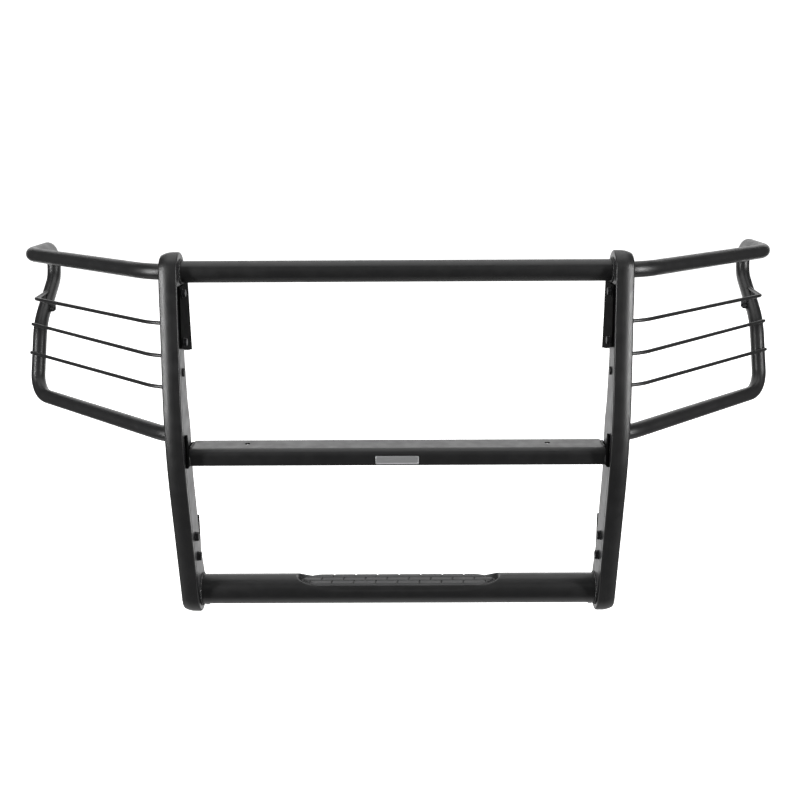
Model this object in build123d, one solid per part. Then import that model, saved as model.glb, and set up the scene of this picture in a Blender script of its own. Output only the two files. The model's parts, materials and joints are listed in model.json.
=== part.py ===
from build123d import *
import math
import os

# Front grille guard for a pickup truck: two upright side plates with formed trims, three cross
# members (top tube, light bar channel, step tube) and two swept-back brush guards.
# Units are millimetres. +X is the driver's left-to-right width, +Y points back to the truck, +Z up.
# The design frame has Y = 0 at the front of the trims' centre surface and Z = 0 on the top tube's
# axis; everything is moved to the centre of the guard's footprint just before export.

# uprights
TRIM_CENTRE_X = 527.0
TRIM_WIDTH = 45.0
TRIM_DEPTH = 16.0
TRIM_WALL = 2.5
TRIM_FLAT = 16.5            # flat inboard strip of the front face
TRIM_FALL_TURN = 28.0       # degrees, how far the front face turns before its outboard corner
TRIM_OUTER_RADIUS = 7.0     # front edge on the headlight side
TRIM_INNER_RADIUS = 4.5     # front edge on the grille side
TRIM_REAR_RADIUS = 3.0
PLATE_THICKNESS = 6.0
UPPER_LEAN = 7.0            # degrees, the part above the bend leans back going up
LOWER_LEAN = 10.5           # degrees, the part below the bend leans back going down
BEND_RADIUS = 900.0

# cross members
TOP_TUBE_DIAMETER = 50.8
TOP_TUBE_WALL = 3.0
TOP_TUBE_Y = 74.0
TOP_HOOK_GAP = 5.0
STEP_TUBE_DIAMETER = 76.2
STEP_TUBE_WALL = 3.0
STEP_TUBE_Y = 115.0
STEP_TUBE_Z = -821.5
STEP_HOOK_GAP = 3.0

# light bar channel
CHANNEL_FRONT_Y = 20.0
CHANNEL_DEPTH = 84.0
CHANNEL_TOP_Z = -420.0
CHANNEL_HEIGHT = 41.0
CHANNEL_FRONT_RADIUS = 17.0  # the rolled top front edge
CHANNEL_LIP = 22.0
CHANNEL_SHEET = 4.0
CHANNEL_BEND_RADIUS = 5.5
LIGHT_HOLE_X = 366.0
LIGHT_HOLE_BACK = 54.0
LIGHT_HOLE_RADIUS = 7.0
END_PLATE_THICKNESS = 5.5
END_PLATE_RISE = 38.0
END_PLATE_EAR = 15.0         # how far back its raised front part runs
BADGE_LENGTH = 104.0
BADGE_HEIGHT = 20.0
BADGE_THICKNESS = 1.6

# step pad
PAD_LENGTH = 500.0
PAD_WIDTH = 62.0
PAD_THICKNESS = 6.5
PAD_TIP = 55.0
POCKET_DEPTH = 18.5
POCKET_MARGIN = 12.0
POCKET_OVERHANG = 8.0       # how far the recess's outline runs past the tube's sides
PAD_PIN_X = 180.0
PAD_PIN_RADIUS = 3.1
GROOVE_PITCH = 56.0

# brush guards
BRUSH_DIAMETER = 38.1
BRUSH_WALL = 2.5
BRUSH_DROP = 388.0
BRUSH_START_X = 573.0
NOSE = (1007.0, 491.0)      # where the top run turns back beside the headlight
LEG_X = 1018.0
LEG_TOP_Y = 712.0
ROD_DIAMETER = 9.5
ROD_HEIGHTS = {"upper": -122.0, "middle": -200.0, "lower": -276.0}
ROD_BITE = 1.0              # how far a rod's side is let into the leg it is welded to

# fasteners
M10 = {"shank": 5.0, "across": 17.0, "head": 6.4, "nut": 8.4, "washer": 10.0, "washer_t": 2.0}
M12 = {"shank": 6.0, "across": 19.0, "head": 7.5, "nut": 10.8, "washer": 12.0, "washer_t": 2.5}
HOLE_CLEARANCE = 0.5
UPPER_BOLTS = [(52.0, -47.0), (38.0, -160.0)]
LOWER_BOLTS = [(62.0, -657.0), (78.0, -716.0)]
PLUG_PLACE = (34.0, -232.0)
PLUG_RADIUS = 7.0

INNER_X = TRIM_CENTRE_X - TRIM_WIDTH / 2
OUTER_PLATE_X = INNER_X + PLATE_THICKNESS
TOP_HOOK_RADIUS = TOP_TUBE_DIAMETER / 2 + TOP_HOOK_GAP + TRIM_DEPTH / 2
STEP_HOOK_RADIUS = STEP_TUBE_DIAMETER / 2 + STEP_HOOK_GAP + TRIM_DEPTH / 2
TOP_TAIL = 20.0
STEP_CURL_END = 290.0       # degrees, where the lower hook stops
POCKET_FLOOR_Z = STEP_TUBE_Z + STEP_TUBE_DIAMETER / 2 - POCKET_DEPTH


def unit(angle):
    """Unit direction in the side view, angle in degrees from +Y towards +Z."""
    return Vector(math.cos(math.radians(angle)), math.sin(math.radians(angle)))


def side_curve(shift):
    """The upright's side outline, moved back by shift, from the rear of the top hook
    round to the end of the lower hook. Coordinates are (Y, Z)."""
    top = Vector(TOP_TUBE_Y, 0)
    low = Vector(STEP_TUBE_Y, STEP_TUBE_Z)
    top_radius = TOP_HOOK_RADIUS - shift
    low_radius = STEP_HOOK_RADIUS - shift
    bend_radius = BEND_RADIUS - shift
    upper_normal = 180 - UPPER_LEAN
    lower_normal = 180 + LOWER_LEAN
    upper_start = top + unit(upper_normal) * top_radius
    lower_end = low + unit(lower_normal) * low_radius
    upper_down = unit(upper_normal + 90)
    lower_down = unit(lower_normal + 90)
    across = upper_down.X * lower_down.Y - upper_down.Y * lower_down.X
    gap = lower_end - upper_start
    corner = upper_start + upper_down * ((gap.X * lower_down.Y - gap.Y * lower_down.X) / across)
    turn = math.radians(UPPER_LEAN + LOWER_LEAN)
    tangent = bend_radius * math.tan(turn / 2)
    bend_start = corner - upper_down * tangent
    bend_end = corner + lower_down * tangent
    curl_end = low + unit(STEP_CURL_END) * low_radius
    tail = top + Vector(top_radius, -TOP_TAIL)
    return [
        Line(tail, top + Vector(top_radius, 0)),
        ThreePointArc(top + Vector(top_radius, 0), top + unit(90) * top_radius, upper_start),
        Line(upper_start, bend_start),
        TangentArc(bend_start, bend_end, tangent=upper_down),
        Line(bend_end, lower_end),
        ThreePointArc(lower_end, low + unit(250) * low_radius, curl_end),
    ]


def tube_along(path, diameter, wall):
    """A hollow tube swept along a path."""
    start = Plane(path @ 0, z_dir=path % 0)
    outer = sweep(start * Circle(diameter / 2), path=path)
    inner = sweep(start * Circle(diameter / 2 - wall), path=path)
    return outer - inner


def x_tube(diameter, wall, length):
    """A hollow tube on the X axis, centred on the origin."""
    ring = Circle(diameter / 2) - Circle(diameter / 2 - wall)
    return extrude(Plane.YZ.offset(-length / 2) * ring, length)


def side_plate(outline, x, thickness):
    """A flat plate in a side view plane, from x outboard by thickness."""
    return extrude(Plane.YZ.offset(x) * make_face(Polyline(*outline, close=True)), thickness)


def x_cylinder(radius, x_from, x_to, place):
    """A cylinder along X at a (Y, Z) place."""
    disc = Plane.YZ.offset(x_from) * Pos(place[0], place[1]) * Circle(radius)
    return extrude(disc, x_to - x_from)


def x_hexagon(across, x_from, x_to, place):
    """A hexagonal prism along X at a (Y, Z) place."""
    flat = Plane.YZ.offset(x_from) * Pos(place[0], place[1]) * RegularPolygon(across / math.sqrt(3), 6)
    return extrude(flat, x_to - x_from)


def trim_section(inset):
    """The trim's cross-section, drawn in by inset: flat at the back, and in front a flat strip on
    the inboard side that falls away in a wide arc to a tight outboard corner."""
    edge = TRIM_WIDTH / 2 - inset
    rear = -TRIM_DEPTH / 2 + inset
    front = TRIM_DEPTH / 2 - inset
    back_corner = TRIM_REAR_RADIUS - inset
    inner_corner = TRIM_INNER_RADIUS - inset
    outer_corner = TRIM_OUTER_RADIUS - inset
    turn = math.radians(TRIM_FALL_TURN)
    fall_width = TRIM_WIDTH - TRIM_FLAT - TRIM_OUTER_RADIUS * (1 - math.sin(turn))
    fall_radius = fall_width / math.sin(turn) - inset
    fall_start = Vector(TRIM_FLAT - TRIM_WIDTH / 2, front)
    fall_end = fall_start + Vector(math.sin(turn), math.cos(turn) - 1) * fall_radius
    side_start = Vector(edge, fall_end.Y - outer_corner * math.cos(turn))
    return make_face([
        Line((inner_corner - edge, front), fall_start),
        TangentArc(fall_start, fall_end, tangent=(1, 0)),
        TangentArc(fall_end, side_start, tangent=(math.cos(turn), -math.sin(turn))),
        Line(side_start, (edge, rear + back_corner)),
        TangentArc((edge, rear + back_corner), (edge - back_corner, rear), tangent=(0, -1)),
        Line((edge - back_corner, rear), (back_corner - edge, rear)),
        TangentArc((back_corner - edge, rear), (-edge, rear + back_corner), tangent=(-1, 0)),
        Line((-edge, rear + back_corner), (-edge, front - inner_corner)),
        TangentArc((-edge, front - inner_corner), (inner_corner - edge, front), tangent=(0, 1)),
    ])


def upright_trim():
    path = Plane.YZ.offset(TRIM_CENTRE_X) * Wire([c.edge() for c in side_curve(0)])
    start = Plane(path @ 0, x_dir=(1, 0, 0), z_dir=path % 0)
    outer = sweep(start * trim_section(0), path=path)
    inner = sweep(start * trim_section(TRIM_WALL), path=path)
    return outer - inner


def trim_caps():
    """Thin welded caps that close the trim's two open ends."""
    path = Plane.YZ.offset(TRIM_CENTRE_X) * Wire([c.edge() for c in side_curve(0)])
    start = Plane(path @ 0, x_dir=(1, 0, 0), z_dir=path % 0)
    end = Plane(path @ 1, x_dir=(1, 0, 0), z_dir=path % 1)
    return [extrude(start * trim_section(TRIM_WALL), 2), extrude(end * trim_section(TRIM_WALL), -2)]


def upright_plate():
    edges = side_curve(TRIM_DEPTH / 2)
    low = Vector(STEP_TUBE_Y, STEP_TUBE_Z)
    past_trim = low + unit(STEP_CURL_END + 3) * (STEP_HOOK_RADIUS + 9)
    rear = [
        edges[-1] @ 1,
        past_trim,
        Vector(204, -910),
        Vector(166, -830),
        Vector(136, -753),
        Vector(114, -690),
        Vector(96, -577),
        Vector(80, -491),
        Vector(82, -370),
        Vector(68, -310),
        Vector(62, -206),
        Vector(74, -110),
        Vector(104.4, -42),
        edges[0] @ 0,
    ]
    gentle = 120
    radii = [1, 7] + [gentle] * 9 + [20]
    face = make_face(edges + [FilletPolyline(*rear, radius=radii)])
    plate = extrude(Plane.YZ.offset(INNER_X) * face, PLATE_THICKNESS)
    for place in UPPER_BOLTS:
        plate -= x_cylinder(M10["shank"] + HOLE_CLEARANCE, INNER_X - 1, OUTER_PLATE_X + 1, place)
    for place in LOWER_BOLTS:
        plate -= x_cylinder(M12["shank"] + HOLE_CLEARANCE, INNER_X - 1, OUTER_PLATE_X + 1, place)
    plate -= x_cylinder(PLUG_RADIUS, INNER_X - 1, OUTER_PLATE_X + 1, PLUG_PLACE)
    return plate


def hole_plug():
    """A push-in plug that fills the plate's unused hole, with a domed head on the inner face."""
    body = x_cylinder(PLUG_RADIUS - 0.1, INNER_X, OUTER_PLATE_X + 2, PLUG_PLACE)
    head = x_cylinder(PLUG_RADIUS + 3, INNER_X - 4.5, INNER_X, PLUG_PLACE)
    head = fillet(head.edges().filter_by(GeomType.CIRCLE).sort_by(Axis.X)[:1], 2.5)
    return body + head


def brush_path():
    """Centreline of one brush guard's tube: out, back round the headlight, down and home."""
    points = [
        (OUTER_PLATE_X, TOP_TUBE_Y, 0),
        (BRUSH_START_X, TOP_TUBE_Y, 0),
        (*NOSE, 0),
        (LEG_X, LEG_TOP_Y, 0),
        (LEG_X, 690, -90),
        (LEG_X, 545, -200),
        (LEG_X, 472, -BRUSH_DROP),
        (565, 55.5, -BRUSH_DROP),
        (OUTER_PLATE_X - 11, 28, -BRUSH_DROP),
    ]
    return FilletPolyline(*points, radius=[150, 85, 52, 60, 150, 75, 150])


def plate_side_block():
    """Everything inboard of the plate's outer face, used to cut slanted tube ends flush."""
    size = 200
    return Pos(OUTER_PLATE_X - size / 2, 50, -200) * Box(size, 400, 700)


def brush_tube():
    return tube_along(brush_path(), BRUSH_DIAMETER, BRUSH_WALL) - plate_side_block()


def filled_brush_tube():
    """The brush tube without its bore, for cutting what is welded to its outside."""
    path = brush_path()
    return sweep(Plane(path @ 0, z_dir=path % 0) * Circle(BRUSH_DIAMETER / 2), path=path)


def rod(points, radii):
    """A solid rod whose ends are cut flush with the plate and with the brush tube's leg."""
    path = FilletPolyline(*points, radius=radii)
    start = Plane(path @ 0, z_dir=path % 0)
    bar = sweep(start * Circle(ROD_DIAMETER / 2), path=path)
    bar = bar - plate_side_block() - filled_brush_tube()
    return bar.solids().sort_by(SortBy.VOLUME)[-1]


def upper_rod():
    """The top rod follows the top tube's plan: out past the leg's front, then back to it."""
    z = ROD_HEIGHTS["upper"]
    points = [
        (OUTER_PLATE_X - 9, 56, z),
        (594, 94, z),
        (NOSE[0] - 2, NOSE[1] + 1, z - 1),
        (LEG_X + 1, 642, z + 2),
    ]
    return rod(points, [120, 20])


def side_rod(z, leg_y, start_y, bend_y):
    """A rod that bends out from the plate and runs across the leg's front to its outer side."""
    reach = (BRUSH_DIAMETER + ROD_DIAMETER) / 2 - ROD_BITE
    offset = reach * math.cos(math.radians(45))
    points = [
        (OUTER_PLATE_X - 9, start_y, z),
        (593, bend_y, z),
        (LEG_X + offset, leg_y - offset, z),
    ]
    return rod(points, [120])


def middle_rod():
    return side_rod(ROD_HEIGHTS["middle"], 545, 50, 88)


def lower_rod():
    return side_rod(ROD_HEIGHTS["lower"], 515, 46, 84)


def upper_bracket():
    """Angle bracket on the plate's inner face, with a slanted rear flange for the truck."""
    sheet = 5.0
    top_rear = Vector(122, -30)
    low_rear = Vector(128, -196)
    web = side_plate([(30, -30), top_rear, low_rear, (16, -172)], INNER_X - sheet, sheet)
    down = (low_rear - top_rear).normalized()
    back = Vector(-down.Y, down.X)
    strip = [top_rear, low_rear, low_rear - back * sheet, top_rear - back * sheet]
    flange = side_plate(strip, INNER_X, 42)
    bracket = web + flange
    for along in (40, 130):
        spot = top_rear + down * along
        centre = (INNER_X + 24, spot.X, spot.Y)
        hole = Plane(centre, z_dir=(0, back.X, back.Y)) * Cylinder(5.5, 4 * sheet)
        bracket -= hole
    for place in UPPER_BOLTS:
        bracket -= x_cylinder(M10["shank"] + HOLE_CLEARANCE, INNER_X - 6, INNER_X + 1, place)
    return bracket


def lower_bracket():
    """Angle bracket on the plate's outer face, with a square rear flange for the frame horn."""
    sheet = 6.0
    rear = 150
    outline = [(45, -632), (rear, -632), (rear, -742), (69, -742)]
    web = side_plate(outline, OUTER_PLATE_X, sheet)
    strip = [(rear, -632), (rear, -742), (rear - sheet, -742), (rear - sheet, -632)]
    flange = side_plate(strip, OUTER_PLATE_X + sheet, 33)
    bracket = web + flange
    for z in (-657, -717):
        hole = Plane((OUTER_PLATE_X + 23, rear, z), z_dir=(0, 1, 0)) * Cylinder(6.5, 4 * sheet)
        bracket -= hole
    for place in LOWER_BOLTS:
        bracket -= x_cylinder(M12["shank"] + HOLE_CLEARANCE, OUTER_PLATE_X - 1, OUTER_PLATE_X + 8, place)
    return bracket


def fastener_set(size, places, head_x, nut_x):
    """Bolts with heads inboard at head_x, washers at both faces and nuts outboard of nut_x."""
    bolts, washers, nuts = [], [], []
    thick = size["washer_t"]
    for place in places:
        head_face = head_x - thick
        nut_face = nut_x + thick
        shank = x_cylinder(size["shank"], head_face, nut_face + size["nut"] + 4, place)
        bolts.append(x_hexagon(size["across"], head_face - size["head"], head_face, place) + shank)
        nut = x_hexagon(size["across"], nut_face, nut_face + size["nut"], place)
        nuts.append(nut - x_cylinder(size["shank"] + 0.05, nut_face - 1, nut_face + 20, place))
        for face in (head_face, nut_x):
            ring = x_cylinder(size["washer"], face, face + thick, place)
            washers.append(ring - x_cylinder(size["shank"] + 0.3, face - 1, face + thick + 1, place))
    return bolts, washers, nuts


def channel():
    """Bent sheet: flat top, rolled front edge, vertical front and a short bottom lip."""
    front = CHANNEL_FRONT_Y
    top = CHANNEL_TOP_Z
    points = [
        (front + CHANNEL_DEPTH, top),
        (front, top),
        (front, top - CHANNEL_HEIGHT),
        (front + CHANNEL_LIP, top - CHANNEL_HEIGHT),
    ]
    line = FilletPolyline(*points, radius=[CHANNEL_FRONT_RADIUS, CHANNEL_BEND_RADIUS])
    inside = offset(line, CHANNEL_SHEET, side=Side.LEFT, closed=True)
    section = make_face(inside.edges())
    length = 2 * (INNER_X - END_PLATE_THICKNESS)
    bar = extrude(Plane.YZ.offset(-length / 2) * section, length)
    for x in (-LIGHT_HOLE_X, LIGHT_HOLE_X):
        bar -= Pos(x, front + LIGHT_HOLE_BACK, top) * Cylinder(LIGHT_HOLE_RADIUS, 20)
    return bar


def channel_end_plate():
    """Plate welded between the channel's end and the upright, with a raised ear at its front."""
    front = CHANNEL_FRONT_Y - 14
    rear = CHANNEL_FRONT_Y + CHANNEL_DEPTH - 14
    bottom = CHANNEL_TOP_Z - CHANNEL_HEIGHT - 1
    level = CHANNEL_TOP_Z + 1.5
    ear_top = CHANNEL_TOP_Z + END_PLATE_RISE
    ear_rear = front + END_PLATE_EAR
    outline = [
        (front, bottom), (rear, bottom), (rear, level),
        (ear_rear + 4, level), (ear_rear, ear_top), (front, ear_top),
    ]
    return side_plate(outline, INNER_X - END_PLATE_THICKNESS, END_PLATE_THICKNESS)


def badge():
    """A blank badge plate on the channel's front face."""
    flat_height = CHANNEL_HEIGHT - CHANNEL_FRONT_RADIUS - CHANNEL_BEND_RADIUS
    z = CHANNEL_TOP_Z - CHANNEL_FRONT_RADIUS - flat_height / 2
    face = Plane((0, CHANNEL_FRONT_Y, z), x_dir=(1, 0, 0), z_dir=(0, -1, 0))
    return extrude(face * RectangleRounded(BADGE_LENGTH, BADGE_HEIGHT, 3), BADGE_THICKNESS)


def boat(length, width, tip):
    """Plan outline with parallel sides and pointed, curved ends."""
    half = length / 2
    side = width / 2
    straight = half - tip
    lines = []
    for sx in (1, -1):
        for sy in (1, -1):
            mid = (sx * (straight + tip * 0.62), sy * side * 0.72)
            lines.append(ThreePointArc((sx * straight, sy * side), mid, (sx * half, 0)))
    lines.append(Line((-straight, side), (straight, side)))
    lines.append(Line((-straight, -side), (straight, -side)))
    return make_face(lines)


def pocket(grow):
    """The pressed-in recess in the step tube's top, grown by the wall for the inside cut."""
    length = PAD_LENGTH + 2 * (POCKET_MARGIN + grow)
    outline = boat(length, STEP_TUBE_DIAMETER + 2 * (POCKET_OVERHANG + grow), PAD_TIP + POCKET_MARGIN)
    floor = Plane((0, STEP_TUBE_Y, POCKET_FLOOR_Z - grow))
    return extrude(floor * outline, STEP_TUBE_DIAMETER)


def step_tube():
    length = 2 * INNER_X
    axis = Pos(0, STEP_TUBE_Y, STEP_TUBE_Z) * Rot(0, 90, 0)
    outer = axis * Cylinder(STEP_TUBE_DIAMETER / 2, length)
    inner = axis * Cylinder(STEP_TUBE_DIAMETER / 2 - STEP_TUBE_WALL, length)
    tube = (outer - pocket(0)) - (inner - pocket(STEP_TUBE_WALL))
    for x in (-PAD_PIN_X, 0, PAD_PIN_X):
        tube -= Pos(x, STEP_TUBE_Y, POCKET_FLOOR_Z) * Cylinder(PAD_PIN_RADIUS + 0.1, 4 * STEP_TUBE_WALL)
    return tube


def step_pad():
    """Moulded tread pad with cross grooves and one long groove."""
    base = Plane((0, STEP_TUBE_Y, POCKET_FLOOR_Z))
    pad = extrude(base * boat(PAD_LENGTH, PAD_WIDTH, PAD_TIP), PAD_THICKNESS)
    top = POCKET_FLOOR_Z + PAD_THICKNESS
    for i in range(-3, 4):
        pad -= Pos(i * GROOVE_PITCH, STEP_TUBE_Y, top) * Box(4, PAD_WIDTH + 10, 3)
    for y in (-9, 9):
        pad -= Pos(0, STEP_TUBE_Y + y, top) * Box(PAD_LENGTH - 2 * PAD_TIP, 3, 3)
    return pad


def pad_pins():
    """Push pins that hold the pad, clipped under the pocket's floor."""
    pins = []
    for x in (-PAD_PIN_X, 0, PAD_PIN_X):
        shank = Pos(x, STEP_TUBE_Y, POCKET_FLOOR_Z - 2.5) * Cylinder(PAD_PIN_RADIUS, 5)
        clip = Pos(x, STEP_TUBE_Y, POCKET_FLOOR_Z - STEP_TUBE_WALL - 2) * Cylinder(PAD_PIN_RADIUS + 2.4, 4)
        pins.append(shank + clip)
    return pins


def leg_tab():
    """Small welded ear on the leg's inner side, for the fender bumper."""
    outline = [(-14, 6), (-6, 14), (14, 16), (14, -14), (-8, -14), (-14, -8)]
    face = Plane((LEG_X - 18, 592, -160), x_dir=(1, 0, 0), z_dir=(0, -1, 0))
    ear = extrude(face * make_face(Polyline(*outline, close=True)), 5)
    return (ear - filled_brush_tube()).solids().sort_by(SortBy.VOLUME)[-1]


def leg_bumper():
    """Rubber bumper on the ear's front, facing the headlight."""
    spot = Plane((LEG_X - 23, 587, -167), z_dir=(0, -1, 0))
    button = extrude(spot * Circle(6.5), 10)
    return fillet(button.edges().sort_by(Axis.Y)[0], 2)


def both_sides(name, shape):
    """One shape, or a list of them, on the right and mirrored on the left."""
    solids = shape if isinstance(shape, list) else [shape]
    return {
        f"right_{name}": solids,
        f"left_{name}": [mirror(s, about=Plane.YZ) for s in solids],
    }


upper_head_x = INNER_X - 5.0
upper_bolts, upper_washers, upper_nuts = fastener_set(M10, UPPER_BOLTS, upper_head_x, OUTER_PLATE_X)
lower_nut_x = OUTER_PLATE_X + 6.0
lower_bolts, lower_washers, lower_nuts = fastener_set(M12, LOWER_BOLTS, INNER_X, lower_nut_x)

nodes = {
    "top_cross_tube": [
        Pos(0, TOP_TUBE_Y, 0) * x_tube(TOP_TUBE_DIAMETER, TOP_TUBE_WALL, 2 * INNER_X)
    ],
    "light_bar_channel": [channel()],
    "badge_plate": [badge()],
    "step_tube": [step_tube()],
    "step_pad": [step_pad()],
    "step_pad_pins": pad_pins(),
}
sided = {
    "upright_plate": upright_plate(),
    "upright_trim": upright_trim(),
    "trim_end_caps": trim_caps(),
    "hole_plug": hole_plug(),
    "brush_tube": brush_tube(),
    "upper_rod": upper_rod(),
    "middle_rod": middle_rod(),
    "lower_rod": lower_rod(),
    "leg_tab": leg_tab(),
    "leg_bumper": leg_bumper(),
    "channel_end_plate": channel_end_plate(),
    "upper_bracket": upper_bracket(),
    "upper_bracket_bolts": upper_bolts,
    "upper_bracket_washers": upper_washers,
    "upper_bracket_nuts": upper_nuts,
    "lower_bracket": lower_bracket(),
    "lower_bracket_bolts": lower_bolts,
    "lower_bracket_washers": lower_washers,
    "lower_bracket_nuts": lower_nuts,
}
for name, shape in sided.items():
    nodes.update(both_sides(name, shape))

everything = Compound([s for solids in nodes.values() for s in solids])
box = everything.bounding_box()
home = Pos(0, -(box.min.Y + box.max.Y) / 2, -box.min.Z)

os.makedirs("parts", exist_ok=True)
for name, solids in nodes.items():
    moved = [home * s for s in solids]
    shape = moved[0] if len(moved) == 1 else Compound(moved)
    export_step(shape, f"parts/{name}.step")
print("design frame moved by", home.position)
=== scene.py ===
import json
import math

import bmesh
import bpy
from mathutils import Matrix, Vector


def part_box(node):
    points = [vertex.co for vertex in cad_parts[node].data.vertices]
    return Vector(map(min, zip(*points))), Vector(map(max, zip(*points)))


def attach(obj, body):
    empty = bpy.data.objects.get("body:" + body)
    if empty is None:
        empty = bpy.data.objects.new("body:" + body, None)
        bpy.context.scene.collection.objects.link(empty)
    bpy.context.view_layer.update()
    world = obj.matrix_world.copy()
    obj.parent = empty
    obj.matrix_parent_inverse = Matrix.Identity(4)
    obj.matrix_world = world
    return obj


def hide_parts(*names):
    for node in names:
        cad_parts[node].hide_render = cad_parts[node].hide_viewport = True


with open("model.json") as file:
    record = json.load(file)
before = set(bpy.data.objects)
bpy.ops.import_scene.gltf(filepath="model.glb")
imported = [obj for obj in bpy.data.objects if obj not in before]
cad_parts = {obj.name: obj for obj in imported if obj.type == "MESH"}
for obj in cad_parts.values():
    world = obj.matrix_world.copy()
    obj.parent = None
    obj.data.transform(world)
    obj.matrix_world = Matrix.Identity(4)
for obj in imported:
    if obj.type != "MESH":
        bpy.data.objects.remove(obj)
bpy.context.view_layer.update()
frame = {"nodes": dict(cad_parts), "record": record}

NODES = frame["nodes"]
SIDES = {"left": -1, "right": 1}


# ---------------------------------------------------------------- camera

def middle_of(node):
    low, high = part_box(node)
    return (low + high) / 2


def add_camera():
    """The camera stands almost straight in front, a little above the guard, and looks down."""
    pitch = math.radians(14.198)
    yaw = math.radians(0.2685)
    roll = math.radians(0.31)
    from_top_tube = Vector((0.0181, -2.3413, 0.28082))
    forward = Vector((
        -math.sin(yaw) * math.cos(pitch),
        math.cos(yaw) * math.cos(pitch),
        -math.sin(pitch),
    ))
    level = Vector((math.cos(yaw), math.sin(yaw), 0))
    below = forward.cross(level)
    right = level * math.cos(roll) + below * math.sin(roll)
    down = below * math.cos(roll) - level * math.sin(roll)
    turn = Matrix((right, -down, -forward)).transposed().to_4x4()
    data = bpy.data.cameras.new("camera")
    data.sensor_width = 36
    data.lens = 45
    data.clip_end = 100
    camera = bpy.data.objects.new("camera", data)
    place = middle_of("top_cross_tube") + from_top_tube
    camera.matrix_world = Matrix.Translation(place) @ turn
    bpy.context.collection.objects.link(camera)
    bpy.context.scene.camera = camera


# ---------------------------------------------------------------- materials

def new_material(name):
    material = bpy.data.materials.new(name)
    material.use_nodes = True
    return material, material.node_tree.nodes, material.node_tree.links


def noise(nodes, links, scale, detail=4.0, stretch=None):
    """A noise texture on object coordinates, in turns per metre, optionally stretched."""
    place = nodes.new("ShaderNodeTexCoord")
    texture = nodes.new("ShaderNodeTexNoise")
    texture.inputs["Scale"].default_value = scale
    texture.inputs["Detail"].default_value = detail
    if stretch is None:
        links.new(place.outputs["Object"], texture.inputs["Vector"])
    else:
        mapping = nodes.new("ShaderNodeMapping")
        mapping.inputs["Scale"].default_value = stretch
        links.new(place.outputs["Object"], mapping.inputs["Vector"])
        links.new(mapping.outputs["Vector"], texture.inputs["Vector"])
    return texture.outputs["Fac"]


def spread(nodes, links, source, low, high, from_low=0.3, from_high=0.7):
    """Maps a noise value to a range of numbers."""
    step = nodes.new("ShaderNodeMapRange")
    step.inputs["From Min"].default_value = from_low
    step.inputs["From Max"].default_value = from_high
    step.inputs["To Min"].default_value = low
    step.inputs["To Max"].default_value = high
    links.new(source, step.inputs["Value"])
    return step.outputs["Result"]


def blend_colours(nodes, links, factor, dark, light):
    ramp = nodes.new("ShaderNodeValToRGB")
    ramp.color_ramp.elements[0].color = (*dark, 1)
    ramp.color_ramp.elements[1].color = (*light, 1)
    links.new(factor, ramp.inputs["Fac"])
    return ramp.outputs["Color"]


def bump(nodes, links, height, strength, distance, below=None):
    step = nodes.new("ShaderNodeBump")
    step.inputs["Strength"].default_value = strength
    step.inputs["Distance"].default_value = distance
    links.new(height, step.inputs["Height"])
    if below is not None:
        links.new(below, step.inputs["Normal"])
    return step.outputs["Normal"]


def powder_coat(name, dark, light, rough, specular=0.5, texture=0.22):
    """Satin powder coat: fine orange peel, a broader unevenness, and slight cloudy colour."""
    material, nodes, links = new_material(name)
    shader = nodes["Principled BSDF"]
    cloud = noise(nodes, links, 9.0, 5.0)
    links.new(blend_colours(nodes, links, cloud, dark, light), shader.inputs["Base Color"])
    grain = noise(nodes, links, 340.0, 3.0)
    dust = noise(nodes, links, 38.0, 6.0)
    links.new(spread(nodes, links, dust, rough - 0.05, rough + 0.06), shader.inputs["Roughness"])
    peel = noise(nodes, links, 900.0, 2.0)
    coarse = bump(nodes, links, grain, texture, 0.0006)
    links.new(bump(nodes, links, peel, texture * 0.7, 0.0002, coarse), shader.inputs["Normal"])
    shader.inputs["Specular IOR Level"].default_value = specular
    return material


def rubber(name, dark, light, rough=0.62):
    """Moulded rubber with a dull, slightly dusty bloom."""
    material, nodes, links = new_material(name)
    shader = nodes["Principled BSDF"]
    bloom = noise(nodes, links, 26.0, 7.0)
    links.new(blend_colours(nodes, links, bloom, dark, light), shader.inputs["Base Color"])
    links.new(spread(nodes, links, bloom, rough - 0.08, rough + 0.1), shader.inputs["Roughness"])
    pores = noise(nodes, links, 1300.0, 3.0)
    links.new(bump(nodes, links, pores, 0.35, 0.0003), shader.inputs["Normal"])
    shader.inputs["Specular IOR Level"].default_value = 0.3
    return material


def coated_steel(name, dark, light, rough):
    """Fastener finish: black conversion coat that lets the steel show on rubbed places."""
    material, nodes, links = new_material(name)
    shader = nodes["Principled BSDF"]
    rub = noise(nodes, links, 120.0, 6.0)
    links.new(blend_colours(nodes, links, rub, dark, light), shader.inputs["Base Color"])
    links.new(spread(nodes, links, rub, rough + 0.1, rough - 0.06), shader.inputs["Roughness"])
    shader.inputs["Metallic"].default_value = 0.5
    shader.inputs["Specular IOR Level"].default_value = 0.2
    pits = noise(nodes, links, 1500.0, 2.0)
    links.new(bump(nodes, links, pits, 0.25, 0.0002), shader.inputs["Normal"])
    return material


def brushed_plate(name):
    """Satin aluminium, brushed lengthways."""
    material, nodes, links = new_material(name)
    shader = nodes["Principled BSDF"]
    lines = noise(nodes, links, 60.0, 4.0, stretch=(1.5, 30.0, 60.0))
    links.new(blend_colours(nodes, links, lines, (0.62, 0.63, 0.64), (0.82, 0.82, 0.83)),
              shader.inputs["Base Color"])
    links.new(spread(nodes, links, lines, 0.3, 0.42), shader.inputs["Roughness"])
    links.new(bump(nodes, links, lines, 0.1, 0.0002), shader.inputs["Normal"])
    shader.inputs["Metallic"].default_value = 0.9
    return material


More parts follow.
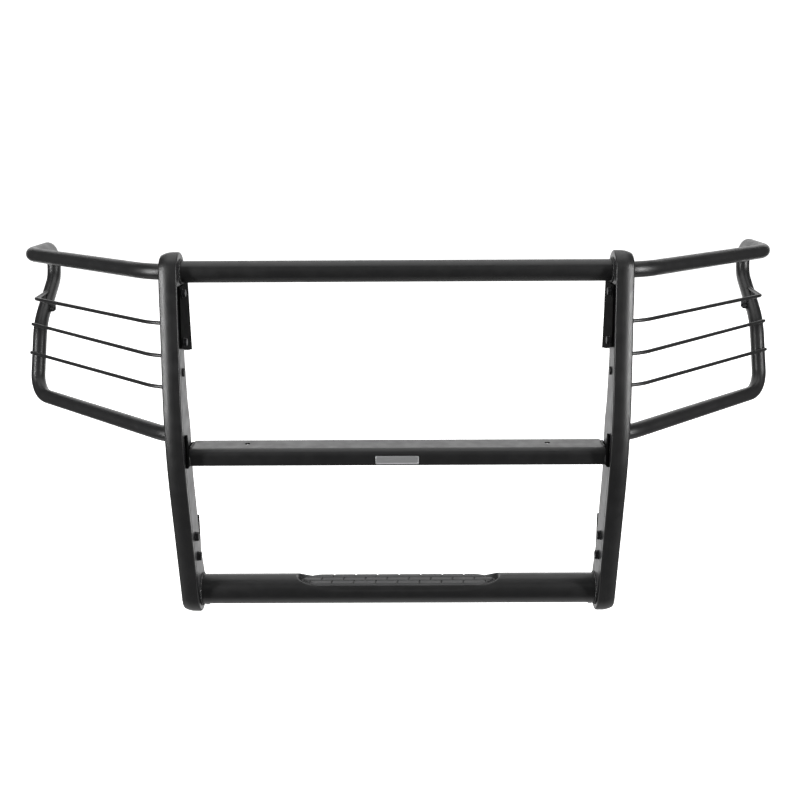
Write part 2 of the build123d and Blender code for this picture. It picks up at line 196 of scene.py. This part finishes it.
MATERIALS = {
    "black_powder_coat": powder_coat(
        "black_powder_coat", (0.006, 0.006, 0.0063), (0.0095, 0.0095, 0.0098), 0.38),
    # The plate coat is the black coat with a lighter base colour. The lighter base is painted
    # reflection of the bright backdrop on the plates' faces. Its orange peel is weaker.
    "plate_powder_coat": powder_coat(
        "plate_powder_coat", (0.03, 0.03, 0.031), (0.045, 0.045, 0.046), 0.42, texture=0.07),
    "bracket_black": powder_coat(
        "bracket_black", (0.001, 0.001, 0.001), (0.003, 0.003, 0.003), 0.9, specular=0.03),
    "black_oxide": coated_steel(
        "black_oxide", (0.006, 0.006, 0.0065), (0.03, 0.03, 0.032), 0.5),
    "tread_rubber": rubber(
        "tread_rubber", (0.05, 0.05, 0.051), (0.078, 0.078, 0.079)),
    "bumper_rubber": rubber(
        "bumper_rubber", (0.006, 0.006, 0.006), (0.012, 0.012, 0.012)),
    "black_plastic": rubber(
        "black_plastic", (0.004, 0.004, 0.004), (0.008, 0.008, 0.008), 0.5),
    "badge_metal": brushed_plate("badge_metal"),
}
NODE_SLOTS = {part["node"]: part["material_slot"] for part in frame["record"]["subparts"]}


def paint_nodes():
    """Every CAD node takes the material of its record slot."""
    for name, node in NODES.items():
        node.data.materials.clear()
        node.data.materials.append(MATERIALS[NODE_SLOTS[name]])


# ---------------------------------------------------------------- mesh helpers

def add_piece(name, mesh, slot, replaced=(), smooth_angle=35.0):
    """Links a finished mesh as a piece of the guard. With no angle its own shading is kept."""
    if smooth_angle is not None:
        mesh.polygons.foreach_set("use_smooth", [True] * len(mesh.polygons))
        mesh.set_sharp_from_angle(angle=math.radians(smooth_angle))
    mesh.materials.clear()
    mesh.materials.append(MATERIALS[slot])
    piece = bpy.data.objects.new(name, mesh)
    bpy.context.collection.objects.link(piece)
    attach(piece, "root")
    if replaced:
        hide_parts(*replaced)
    return piece


def mesh_from(shape, name):
    bmesh.ops.recalc_face_normals(shape, faces=shape.faces)
    mesh = bpy.data.meshes.new(name)
    shape.to_mesh(mesh)
    shape.free()
    return mesh


def ring(shape, points):
    return [shape.verts.new(p) for p in points]


def bridge(shape, low, high):
    """Quads between two closed rings of the same count."""
    count = len(low)
    for i in range(count):
        j = (i + 1) % count
        shape.faces.new((low[i], low[j], high[j], high[i]))


def tube_rings(shape, rings, capped=True):
    """A closed skin through a list of rings of points."""
    made = [ring(shape, points) for points in rings]
    for low, high in zip(made, made[1:]):
        bridge(shape, low, high)
    if capped:
        shape.faces.new(list(reversed(made[0])))
        shape.faces.new(made[-1])
    else:
        bridge(shape, made[-1], made[0])


def islands(node):
    """The separate solids of a CAD node, as (lowest corner, highest corner) pairs, low to high.

    Solids at one height are ordered by X, so that each run gives the same list.
    """
    shape = bmesh.new()
    shape.from_mesh(NODES[node].data)
    bmesh.ops.remove_doubles(shape, verts=shape.verts, dist=1e-6)
    left = set(shape.verts)
    boxes = []
    while left:
        waiting = [left.pop()]
        low = waiting[0].co.copy()
        high = waiting[0].co.copy()
        while waiting:
            vert = waiting.pop()
            low = Vector(map(min, low, vert.co))
            high = Vector(map(max, high, vert.co))
            for edge in vert.link_edges:
                other = edge.other_vert(vert)
                if other in left:
                    left.remove(other)
                    waiting.append(other)
        boxes.append((low, high))
    shape.free()
    return sorted(boxes, key=lambda pair: (pair[0].z, pair[0].x))


# ---------------------------------------------------------------- eased sheet metal

def add_eased(node, width):
    """A copy of a CAD sheet with its sharp edges rounded, as the coat leaves them."""
    name = node + "_eased"
    shape = bmesh.new()
    shape.from_mesh(NODES[node].data)
    bmesh.ops.remove_doubles(shape, verts=shape.verts, dist=1e-6)
    bmesh.ops.dissolve_limit(
        shape, angle_limit=math.radians(0.3), verts=shape.verts, edges=shape.edges)
    mesh = mesh_from(shape, name)
    mesh.attributes.remove(mesh.attributes["custom_normal"])
    mesh.polygons.foreach_set("use_smooth", [True] * len(mesh.polygons))
    carrier = bpy.data.objects.new(name + "_carrier", mesh)
    bpy.context.collection.objects.link(carrier)
    bevel = carrier.modifiers.new("ease", "BEVEL")
    bevel.width = width
    bevel.segments = 2
    bevel.limit_method = "ANGLE"
    bevel.angle_limit = math.radians(40)
    bevel.miter_outer = "MITER_ARC"
    bevel.use_clamp_overlap = True
    even = carrier.modifiers.new("even", "WEIGHTED_NORMAL")
    even.mode = "FACE_AREA"
    graph = bpy.context.evaluated_depsgraph_get()
    eased = bpy.data.meshes.new_from_object(carrier.evaluated_get(graph))
    eased.name = name
    bpy.data.objects.remove(carrier)
    bpy.data.meshes.remove(mesh)
    add_piece(name, eased, NODE_SLOTS[node], [node], smooth_angle=None)


CHANNEL_EASE = 0.0007
SHEET_EASE = {
    "upright_plate": 0.0009,
    "upper_bracket": 0.0008,
    "lower_bracket": 0.0009,
    "channel_end_plate": 0.001,
    "leg_tab": 0.0008,
}


def add_sheet_metal():
    """Eased copies of the plates, brackets, end plates, tabs and channel."""
    for side in SIDES:
        for part, width in SHEET_EASE.items():
            add_eased(f"{side}_{part}", width)
    add_eased("light_bar_channel", CHANNEL_EASE)


# ---------------------------------------------------------------- fasteners

HEX_STEPS = 72
SHANK_STEPS = 40
CHAMFER_DEPTH = 0.075           # of the width across flats
CHAMFER_FACE = 0.93             # radius of the round end face, of half the width across flats
SHANK_RADIUS = {"upper": 0.0049, "lower": 0.0059}
WASHER_BORE = 0.52              # of the washer's radius
THREAD_PITCH = 0.0016
THREAD_DEPTH = 0.0007


def hex_ring(x, across, cone, centre):
    """A hexagon cut by a circle of radius cone, as a chamfered head or nut is."""
    points = []
    for i in range(HEX_STEPS):
        turn = 2 * math.pi * i / HEX_STEPS
        folded = (turn % (math.pi / 3)) - math.pi / 6
        radius = min(across / 2 / math.cos(folded), cone)
        points.append((x, centre.y + radius * math.cos(turn), centre.z + radius * math.sin(turn)))
    return points


def round_ring(x, radius, centre, steps=HEX_STEPS):
    points = []
    for i in range(steps):
        turn = 2 * math.pi * i / steps
        points.append((x, centre.y + radius * math.cos(turn), centre.z + radius * math.sin(turn)))
    return points


def hex_body(shape, x_plain, x_chamfered, across, centre, both=False):
    """A hexagonal prism along X, chamfered at one end or at both."""
    way = 1 if x_chamfered > x_plain else -1
    chamfer = across * CHAMFER_DEPTH
    corner = across / math.sqrt(3)
    flat = across / 2 * CHAMFER_FACE
    rings = []
    steps = 5
    ramp = [k / steps for k in range(steps + 1)]
    if both:
        for t in ramp:
            cone = flat + (corner - flat) * t
            rings.append(hex_ring(x_plain + way * chamfer * t, across, cone, centre))
    else:
        rings.append(hex_ring(x_plain, across, corner, centre))
    for t in ramp:
        cone = corner + (flat - corner) * t
        rings.append(hex_ring(x_chamfered - way * chamfer * (1 - t), across, cone, centre))
    tube_rings(shape, rings)


def threaded_shank(shape, x_from, x_to, radius, thread_from, centre):
    """A round shank whose far part carries thread ridges, with a chamfered end."""
    pitch = THREAD_PITCH if x_to > x_from else -THREAD_PITCH
    root = radius - THREAD_DEPTH
    tip = radius - THREAD_DEPTH * 1.6
    rings = [round_ring(x, radius, centre, SHANK_STEPS) for x in (x_from, thread_from)]
    count = int(abs(x_to - thread_from) / THREAD_PITCH) - 1
    for k in range(count):
        start = thread_from + pitch * k
        rings.append(round_ring(start + pitch * 0.45, root, centre, SHANK_STEPS))
        rings.append(round_ring(start + pitch * 0.95, radius, centre, SHANK_STEPS))
    rings.append(round_ring(x_to, tip, centre, SHANK_STEPS))
    tube_rings(shape, rings)


def rounded_disc(shape, x_low, x_high, radius, bore, centre):
    """A washer with softened rims."""
    ease = (x_high - x_low) * 0.25
    rings = [
        round_ring(x_low, bore, centre),
        round_ring(x_low, radius - ease, centre),
        round_ring(x_low + ease, radius, centre),
        round_ring(x_high - ease, radius, centre),
        round_ring(x_high, radius - ease, centre),
        round_ring(x_high, bore, centre),
    ]
    tube_rings(shape, rings, capped=False)


def add_fasteners():
    """Chamfered bolts and nuts and soft-rimmed washers at the upper and lower brackets."""
    for side, sign in SIDES.items():
        for level in ("upper", "lower"):
            stem = f"{side}_{level}_bracket"
            bolts = bmesh.new()
            nuts = bmesh.new()
            washers = bmesh.new()
            washer_boxes = islands(stem + "_washers")
            head_face = min(abs(corner.x) for box in washer_boxes for corner in box)
            for (low, high), nut in zip(islands(stem + "_bolts"), islands(stem + "_nuts")):
                centre = (low + high) / 2
                across = high.z - low.z
                nut_inner, nut_outer = sorted((abs(nut[0].x), abs(nut[1].x)))
                head_end, shank_end = sorted((abs(low.x), abs(high.x)))
                hex_body(bolts, sign * head_face, sign * head_end, across, centre)
                threaded_shank(bolts, sign * head_face, sign * shank_end, SHANK_RADIUS[level],
                               sign * nut_outer, centre)
                hex_body(nuts, sign * nut_inner, sign * nut_outer, across, centre, both=True)
            for low, high in washer_boxes:
                centre = (low + high) / 2
                radius = (high.z - low.z) / 2
                rounded_disc(washers, low.x, high.x, radius, radius * WASHER_BORE, centre)
            for part, shape in (("bolts", bolts), ("nuts", nuts), ("washers", washers)):
                node = f"{stem}_{part}"
                add_piece(node + "_cut", mesh_from(shape, node + "_cut"), NODE_SLOTS[node], [node], 25)


# ---------------------------------------------------------------- step tube and tread pad

TUBE_WALL = 0.003
TUBE_STEPS = 144
TUBE_STATIONS = 300
DISH_MARGIN = 0.012             # how far the dish runs past the pad's ends
DISH_REACH = 0.055              # half its width, measured round the tube
DISH_TIP = 0.12                 # length of each narrowing end
DISH_ENDS = (1.4, 0.4)          # power and rounding of those ends
DISH_RAMP = 0.0115              # length of the slope at each end of the floor
RIM_WIDTH = 0.012
RIM_BLEND = 0.002
FLANK_PRESS = 0.0014
FLANK_WIDTH = 0.009
FLANK_ANGLE = math.radians(75)  # from the crest; the floor doesn't reach past it

PAD_WIDTH = 0.062
PAD_TIP = 0.055                 # length of each narrowing end
PAD_ENDS = (1.6, 0.65)
PAD_BASE = 0.52                 # of the pad's height, below the tread blocks
TREAD_PITCH = 0.056
TREAD_GROOVE = 0.003
TREAD_SLANT = 0.005
TREAD_INSET = 0.0018            # how far the blocks stand in from the pad's sides
TREAD_END_INSET = 0.006
SMALLEST_BLOCK = 0.006


def smooth_step(value, low, high):
    part = min(max((value - low) / (high - low), 0.0), 1.0)
    return part * part * (3 - 2 * part)


def soft_min(a, b, blend):
    """The smaller of two lengths, with a rounded corner where they cross."""
    near = max(blend - abs(a - b), 0) / blend
    return min(a, b) - near * near * blend / 4


def boat_reach(x, half_length, half_width, tip, power, round_off):
    """Half the width of a boat-shaped outline at x, with blunt curved ends."""
    past = abs(x) - (half_length - tip)
    if past <= 0:
        return half_width
    if past >= tip:
        return 0.0
    return half_width * (1 - (past / tip) ** power) ** round_off


def add_step_tube():
    """The step tube with the dish that is pressed into its top and draws its flanks in."""
    low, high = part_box("step_tube")
    middle = (low + high) / 2
    radius = (high.z - low.z) / 2
    pad_low, pad_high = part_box("step_pad")
    floor = pad_low.z - middle.z
    dish_length = pad_high.x + DISH_MARGIN

    def pressed_radius(x, angle, thickness):
        """Distance from the axis at an angle from the crest, with the dish pressed in."""
        full = radius - thickness
        reach = boat_reach(x, dish_length, DISH_REACH, DISH_TIP, *DISH_ENDS)
        inside = reach - abs(angle) * radius
        if reach <= 0 or inside <= 0:
            return full
        flank = full - FLANK_PRESS * smooth_step(inside, 0.0, FLANK_WIDTH)
        if abs(angle) > FLANK_ANGLE:
            return flank
        end_wall = smooth_step(dish_length - abs(x), 0.0, DISH_RAMP)
        seat = (floor - thickness) / math.cos(angle)
        bottom = full + (min(seat, full) - full) * smooth_step(inside, 0.0, RIM_WIDTH) * end_wall
        return soft_min(flank, bottom, RIM_BLEND)

    def section(x, thickness):
        points = []
        for k in range(TUBE_STEPS):
            angle = 2 * math.pi * k / TUBE_STEPS
            folded = angle if angle <= math.pi else angle - 2 * math.pi
            r = pressed_radius(x, folded, thickness)
            points.append((x, middle.y - r * math.sin(angle), middle.z + r * math.cos(angle)))
        return points

    span = dish_length + 0.004
    dished = [span * (2 * k / TUBE_STATIONS - 1) for k in range(TUBE_STATIONS + 1)]
    stations = [low.x] + dished + [high.x]
    shape = bmesh.new()
    outer = [ring(shape, section(x, 0.0)) for x in stations]
    inner = [ring(shape, section(x, TUBE_WALL)) for x in stations]
    for first, second in zip(outer, outer[1:]):
        bridge(shape, first, second)
    for first, second in zip(inner, inner[1:]):
        bridge(shape, second, first)
    bridge(shape, inner[0], outer[0])
    bridge(shape, outer[-1], inner[-1])
    add_piece("step_tube_pressed", mesh_from(shape, "step_tube_pressed"),
              "black_powder_coat", ["step_tube"], 50)


def pad_outline(half_length, half_width, tip, steps=14):
    """The pad's plan outline, anticlockwise, with blunt curved ends."""
    quarter = []
    for k in range(steps):
        x = half_length - tip + tip * math.sin(math.pi / 2 * k / steps)
        quarter.append((x, boat_reach(x, half_length, half_width, tip, *PAD_ENDS)))
    right = [(x, -y) for x, y in quarter] + [(half_length, 0.0)] + quarter[::-1]
    return right + [(-x, -y) for x, y in right]


def clip(polygon, boundary):
    """A convex polygon cut to a convex boundary, both anticlockwise in plan."""
    result = polygon
    for a, b in zip(boundary, boundary[1:] + boundary[:1]):
        source, result = result, []
        offsets = [(b[0] - a[0]) * (p[1] - a[1]) - (b[1] - a[1]) * (p[0] - a[0]) for p in source]
        for i, p in enumerate(source):
            j = (i + 1) % len(source)
            q = source[j]
            if offsets[i] >= 0:
                result.append(p)
            if offsets[i] * offsets[j] < 0:
                t = offsets[i] / (offsets[i] - offsets[j])
                result.append((p[0] + (q[0] - p[0]) * t, p[1] + (q[1] - p[1]) * t))
        if not result:
            return []
    return result


def drawn_in(outline, inset):
    """An outline scaled about its own middle so that its sides move in by the inset."""
    xs = [p[0] for p in outline]
    ys = [p[1] for p in outline]
    mid_x = (min(xs) + max(xs)) / 2
    mid_y = (min(ys) + max(ys)) / 2
    scale_x = 1 - 2 * inset / (max(xs) - min(xs))
    scale_y = 1 - 2 * inset / (max(ys) - min(ys))
    return [(mid_x + (x - mid_x) * scale_x, mid_y + (y - mid_y) * scale_y) for x, y in outline]


def spaced(outline, shortest):
    """An outline without its shortest edges."""
    kept = []
    for point in outline:
        if not kept or math.dist(point, kept[-1]) > shortest:
            kept.append(point)
    if len(kept) > 1 and math.dist(kept[0], kept[-1]) <= shortest:
        kept.pop()
    return kept


def stack(shape, outline, levels, centre):
    """A solid of one plan outline, drawn in by each level's inset at its height."""
    rings = []
    for z, inset in levels:
        rings.append([(centre.x + x, centre.y + y, z) for x, y in drawn_in(outline, inset)])
    tube_rings(shape, rings)


def add_step_pad():
    """A moulded pad: a soft-edged base and three rows of slant-cut tread blocks."""
    low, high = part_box("step_pad")
    centre = Vector((0, (low.y + high.y) / 2, low.z))
    outline = spaced(pad_outline(high.x, PAD_WIDTH / 2, PAD_TIP), 0.0015)
    base_top = low.z + (high.z - low.z) * PAD_BASE
    base_levels = [
        (low.z, 0.0005), (low.z + 0.0006, 0), (base_top - 0.0008, 0), (base_top, 0.0009)]
    block_levels = [(base_top - 0.0005, 0), (high.z - 0.0006, 0.0003), (high.z, 0.001)]
    shape = bmesh.new()
    stack(shape, outline, base_levels, centre)
    field_width = PAD_WIDTH / 2 - TREAD_INSET
    field = spaced(pad_outline(high.x - TREAD_END_INSET, field_width, PAD_TIP - 0.004), 0.001)
    row_width = (PAD_WIDTH - 0.002) / 3
    half_groove = TREAD_GROOVE / 2
    half_count = math.ceil(high.x / TREAD_PITCH)
    for row in (-1, 0, 1):
        shift = 0.5 if row == 0 else 0.0
        y_low = (row - 0.5) * row_width + half_groove
        y_high = (row + 0.5) * row_width - half_groove
        lean_low = TREAD_SLANT * y_low / PAD_WIDTH
        lean_high = TREAD_SLANT * y_high / PAD_WIDTH
        for k in range(-half_count, half_count):
            left = (k + shift) * TREAD_PITCH + half_groove
            right = (k + 1 + shift) * TREAD_PITCH - half_groove
            cell = [(left + lean_low, y_low), (right + lean_low, y_low),
                    (right + lean_high, y_high), (left + lean_high, y_high)]
            block = spaced(clip(cell, field), 0.0006)
            if len(block) < 3:
                continue
            wide = max(p[0] for p in block) - min(p[0] for p in block)
            deep = max(p[1] for p in block) - min(p[1] for p in block)
            if min(wide, deep) >= SMALLEST_BLOCK:
                stack(shape, block, block_levels, centre)
    add_piece("step_pad_tread", mesh_from(shape, "step_pad_tread"),
              "tread_rubber", ["step_pad"], 40)


# ---------------------------------------------------------------- badge

def rounded_rectangle(width, height, radius, steps=6):
    """A rectangle's outline as four corner arcs, anticlockwise from the upper right."""
    points = []
    for cx, cy, start in ((1, 1, 0), (-1, 1, 90), (-1, -1, 180), (1, -1, 270)):
        for k in range(steps + 1):
            turn = math.radians(start + 90 * k / steps)
            points.append((cx * (width / 2 - radius) + radius * math.cos(turn),
                           cy * (height / 2 - radius) + radius * math.sin(turn)))
    return points


BADGE_RIM = 0.0017
BADGE_CORNER = 0.003
BADGE_SINK = 0.35               # of the plate's depth


def add_badge():
    """A blank plate with a raised rim round a sunk field."""
    low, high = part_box("badge_plate")
    centre = (low + high) / 2
    width = high.x - low.x
    height = high.z - low.z
    deep = high.y - low.y
    levels = [(high.y, 0.0), (low.y + 0.0004, 0.0), (low.y, 0.0005), (low.y, BADGE_RIM),
              (low.y + deep * BADGE_SINK, BADGE_RIM + 0.0005)]
    shape = bmesh.new()
    rings = []
    for y, inset in levels:
        corner = BADGE_CORNER - inset * 0.5
        outline = rounded_rectangle(width - 2 * inset, height - 2 * inset, corner)
        rings.append([(centre.x + x, y, centre.z + z) for x, z in outline])
    tube_rings(shape, rings)
    add_piece("badge_plate_rimmed", mesh_from(shape, "badge_plate_rimmed"),
              "badge_metal", ["badge_plate"], 30)


# ---------------------------------------------------------------- welds

CROSS_BEAD = {"top_cross_tube": 0.0031, "step_tube": 0.0034}
BRUSH_BEAD = 0.0028
STITCH_BEAD = 0.0024
FACE_BEAD = 0.002
ROD_BEAD = 0.0016
BEAD_STEP = 0.0011              # between the rings of a bead
BEAD_SIDES = 10
LIFT = 0.0006                   # of a bead's middle line from the faces it joins
CROSS_LIFT = 0.0008
ROD_LIFT = 0.0004
STITCH_PITCH = 0.096
STITCH_LENGTH = 0.034
STITCH_MARGINS = (0.12, 0.13)   # from the plate's lower and upper end
RODS = ("upper_rod", "middle_rod", "lower_rod")


def add_welds(name, shape):
    add_piece(name, mesh_from(shape, name), "black_powder_coat")


def bead_along(shape, points, radius, closed, pitch=0.0032):
    """A rippled weld bead: a round section along a path, swelling once in each pitch."""
    count = len(points)
    total = 0.0
    rings = []
    for i in range(count):
        here = points[i]
        ahead = points[(i + 1) % count] if closed or i + 1 < count else points[i]
        behind = points[i - 1] if closed or i > 0 else points[i]
        along = (ahead - behind).normalized()
        if i > 0:
            total += (here - points[i - 1]).length
        swell = 1 + 0.1 * math.cos(2 * math.pi * total / pitch) + 0.06 * math.sin(total * 310)
        if not closed:
            ends = min(i, count - 1 - i) / 3
            swell *= min(1.0, 0.45 + 0.55 * ends)
        flat = Vector((0, 0, 1)) if abs(along.z) < 0.9 else Vector((0, 1, 0))
        across = along.cross(flat).normalized()
        up = across.cross(along).normalized()
        section = []
        for k in range(BEAD_SIDES):
            turn = 2 * math.pi * k / BEAD_SIDES
            section.append(here + (across * math.cos(turn) + up * math.sin(turn)) * radius * swell)
        rings.append(section)
    tube_rings(shape, rings, capped=not closed)


def hoop(face_x, way, section, lift, spacing=BEAD_STEP):
    """Points all round a tube's end, lifted off the tube and off the face that it meets."""
    (y, z), half_y, half_z = section
    x = face_x + way * lift
    radius_y = half_y + lift
    radius_z = half_z + lift
    length = math.pi * (radius_y + radius_z)
    count = max(int(length / spacing), 8)
    turns = [2 * math.pi * k / count for k in range(count)]
    return [Vector((x, y + radius_y * math.cos(t), z + radius_z * math.sin(t))) for t in turns]


def line_points(start, end):
    count = max(int((end - start).length / BEAD_STEP), 4)
    return [start.lerp(end, k / count) for k in range(count + 1)]


def vertices_near(node, x):
    """The points of a node's skin that lie in the plane of one X."""
    return [v.co for v in NODES[node].data.vertices if abs(v.co.x - x) < 0.0005]


def section_of(points):
    """Centre, half size in Y and half size in Z of a set of points."""
    ys = [p.y for p in points]
    zs = [p.z for p in points]
    centre = ((min(ys) + max(ys)) / 2, (min(zs) + max(zs)) / 2)
    return centre, (max(ys) - min(ys)) / 2, (max(zs) - min(zs)) / 2


def brush_ends(side, outer_x):
    """The sections of a brush tube's upper and lower end at the plate."""
    near = vertices_near(f"{side}_brush_tube", outer_x)
    split = (min(p.z for p in near) + max(p.z for p in near)) / 2
    return [section_of([p for p in near if (p.z > split) == upper]) for upper in (True, False)]


def add_tube_welds():
    """Beads round the ends of the tubes and rods where they meet the upright plates."""
    for side, sign in SIDES.items():
        low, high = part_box(f"{side}_upright_plate")
        inner_x = sign * min(abs(low.x), abs(high.x))
        outer_x = sign * max(abs(low.x), abs(high.x))
        shape = bmesh.new()
        for node, radius in CROSS_BEAD.items():
            section = section_of(vertices_near(node, inner_x))
            bead_along(shape, hoop(inner_x, -sign, section, CROSS_LIFT), radius, True)
        add_welds(f"{side}_cross_tube_welds", shape)
        shape = bmesh.new()
        for section in brush_ends(side, outer_x):
            bead_along(shape, hoop(outer_x, sign, section, LIFT), BRUSH_BEAD, True)
        for rod in RODS:
            section = section_of(vertices_near(f"{side}_{rod}", outer_x))
            points = hoop(outer_x, sign, section, ROD_LIFT, spacing=0.0007)
            bead_along(shape, points, ROD_BEAD, True, 0.0024)
        add_welds(f"{side}_brush_guard_welds", shape)


def hit(node, origin, direction):
    """Where a straight line first meets a CAD node that no piece has replaced yet."""
    found, place, _, _ = NODES[node].ray_cast(Vector(origin), Vector(direction))
    return place if found else None


def add_trim_welds():
    """Stitch welds between each trim's rear face and the outer face of its plate."""
    for side, sign in SIDES.items():
        low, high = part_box(f"{side}_upright_plate")
        outer_x = sign * max(abs(low.x), abs(high.x))
        probe_x = outer_x + sign * 0.006
        seam_x = outer_x + sign * LIFT
        shape = bmesh.new()
        steps = int(STITCH_LENGTH / BEAD_STEP)
        z = low.z + STITCH_MARGINS[0]
        while z < high.z - STITCH_MARGINS[1]:
            points = []
            for k in range(steps + 1):
                level = z + STITCH_LENGTH * k / steps
                place = hit(f"{side}_upright_trim", (probe_x, high.y + 0.3, level), (0, -1, 0))
                if place is not None:
                    points.append(Vector((seam_x, place.y + LIFT, level)))
            if len(points) > 6:
                bead_along(shape, points, STITCH_BEAD, False)
            z += STITCH_PITCH
        add_welds(f"{side}_trim_welds", shape)


def add_rod_welds():
    """Beads round the outer ends of the rods, where they rest on the leg of the brush tube."""
    half_along = 0.0075
    half_across = 0.0048
    touching = 0.0015
    points_round = 40
    for side in SIDES:
        leg = NODES[f"{side}_brush_tube"]
        shape = bmesh.new()
        for rod in RODS:
            spots = []
            for vert in NODES[f"{side}_{rod}"].data.vertices:
                _, place, normal, _ = leg.closest_point_on_mesh(vert.co)
                if (place - vert.co).length < touching:
                    spots.append((place, normal))
            if not spots:
                continue
            centre = sum((place for place, _ in spots), Vector()) / len(spots)
            out = sum((normal for _, normal in spots), Vector()).normalized()
            along = out.cross(Vector((0, 0, 1))).normalized()
            across = along.cross(out)
            path = []
            for k in range(points_round):
                turn = 2 * math.pi * k / points_round
                spot = centre + along * half_along * math.cos(turn)
                spot += across * half_across * math.sin(turn)
                path.append(leg.closest_point_on_mesh(spot)[1])
            bead_along(shape, path, ROD_BEAD, True, 0.0026)
        add_welds(f"{side}_rod_end_welds", shape)


def add_end_plate_welds():
    """Beads between the end plates and the uprights' rear edges, and along the channel's ends."""
    for side, sign in SIDES.items():
        low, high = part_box(f"{side}_channel_end_plate")
        channel_low, channel_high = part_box("light_bar_channel")
        inner_x = sign * min(abs(low.x), abs(high.x))
        outer_x = sign * max(abs(low.x), abs(high.x))
        shape = bmesh.new()
        seam = [low.z + 0.004 + 0.001 * k for k in range(31)]
        points = []
        for level in seam:
            start = (outer_x + sign * 0.003, high.y + 0.2, level)
            rear = hit(f"{side}_upright_plate", start, (0, -1, 0))
            points.append(Vector((outer_x + sign * LIFT, rear.y + LIFT, level)))
        bead_along(shape, points, STITCH_BEAD, False)
        x = inner_x - sign * LIFT
        z = channel_high.z + 0.0005
        points = line_points(Vector((x, channel_low.y + 0.016, z)), Vector((x, high.y - 0.002, z)))
        bead_along(shape, points, STITCH_BEAD, False)
        y = channel_low.y - 0.0002
        bottom = Vector((x, y, channel_low.z + 0.003))
        top = Vector((x, y, channel_high.z - 0.017))
        bead_along(shape, line_points(bottom, top), FACE_BEAD, False)
        add_welds(f"{side}_channel_welds", shape)


# ---------------------------------------------------------------- stage

def stage_material():
    material, nodes, _ = new_material("pale_stage")
    shader = nodes["Principled BSDF"]
    shader.inputs["Base Color"].default_value = (0.9, 0.9, 0.9, 1)
    shader.inputs["Roughness"].default_value = 0.9
    shader.inputs["Specular IOR Level"].default_value = 0.0
    shader.inputs["Emission Color"].default_value = (1, 1, 1, 1)
    shader.inputs["Emission Strength"].default_value = 1.0
    return material


def add_floor():
    """A pale floor that runs up into a pale backdrop all round."""
    radius = 9.0
    corner = 3.0
    wall_top = 9.0
    crown = 11.0
    middle = 0.001
    steps = 10
    sides = 64
    profile = [(middle, 0.0), (radius - corner, 0.0)]
    for i in range(1, steps + 1):
        turn = math.radians(90 * i / steps)
        profile.append((radius - corner + corner * math.sin(turn), corner - corner * math.cos(turn)))
    profile += [(radius, wall_top), (middle, crown)]
    shape = bmesh.new()
    rings = []
    for r, z in profile:
        turns = [2 * math.pi * k / sides for k in range(sides)]
        rings.append(ring(shape, [(r * math.cos(t), r * math.sin(t), z) for t in turns]))
    for low, high in zip(rings, rings[1:]):
        bridge(shape, low, high)
    mesh = bpy.data.meshes.new("floor")
    shape.to_mesh(mesh)
    shape.free()
    mesh.polygons.foreach_set("use_smooth", [True] * len(mesh.polygons))
    mesh.materials.append(stage_material())
    floor = bpy.data.objects.new("floor", mesh)
    bpy.context.collection.objects.link(floor)
    floor.visible_glossy = False
    floor.visible_diffuse = False
    floor.visible_shadow = False


def add_area(name, place, aim, width, height, radiance):
    """A rectangular softbox of one radiance, unseen by the camera."""
    data = bpy.data.lights.new(name, "AREA")
    data.shape = "RECTANGLE"
    data.size = width
    data.size_y = height
    data.energy = radiance * math.pi * width * height
    light = bpy.data.objects.new(name, data)
    direction = Vector(aim) - Vector(place)
    light.location = place
    light.rotation_euler = direction.to_track_quat("-Z", "Y").to_euler()
    light.visible_camera = False
    bpy.context.collection.objects.link(light)


MIDDLE = (0, 0, 0.5)
SOFTBOXES = [  # name, place, aim, width, height, radiance
    ("back_wall", (0, 5.0, 0.6), (0, 0, 0.6), 10.0, 7.0, 1.4),
    ("top_box", (0, 0.9, 4.2), (0, 0.9, 0), 5.0, 5.4, 1.5),
    ("left_strip", (-3.4, -2.3, 1.1), (-0.5, 0, 0.6), 0.4, 2.6, 44.0),
    ("right_strip", (3.4, -2.3, 1.1), (0.5, 0, 0.6), 0.4, 2.6, 44.0),
    ("front_box", (0, -4.2, 3.4), MIDDLE, 5.0, 2.0, 0.3),
    ("under_box", (0, 0.1, -1.5), (0, 0.1, 0), 6.0, 2.4, 0.6),
]


def add_lights():
    """Softboxes round the guard, one of them below the floor, and a faint even world."""
    for softbox in SOFTBOXES:
        add_area(*softbox)
    world = bpy.data.worlds.new("studio")
    world.use_nodes = True
    back = world.node_tree.nodes["Background"]
    back.inputs["Color"].default_value = (1, 1, 1, 1)
    back.inputs["Strength"].default_value = 0.13
    bpy.context.scene.world = world


def use_standard_colours():
    view = bpy.context.scene.view_settings
    view.view_transform = "Standard"
    view.look = "None"


add_camera()
paint_nodes()
add_end_plate_welds()
add_sheet_metal()
add_fasteners()
add_step_tube()
add_step_pad()
add_badge()
add_tube_welds()
add_trim_welds()
add_rod_welds()
add_floor()
add_lights()
use_standard_colours()
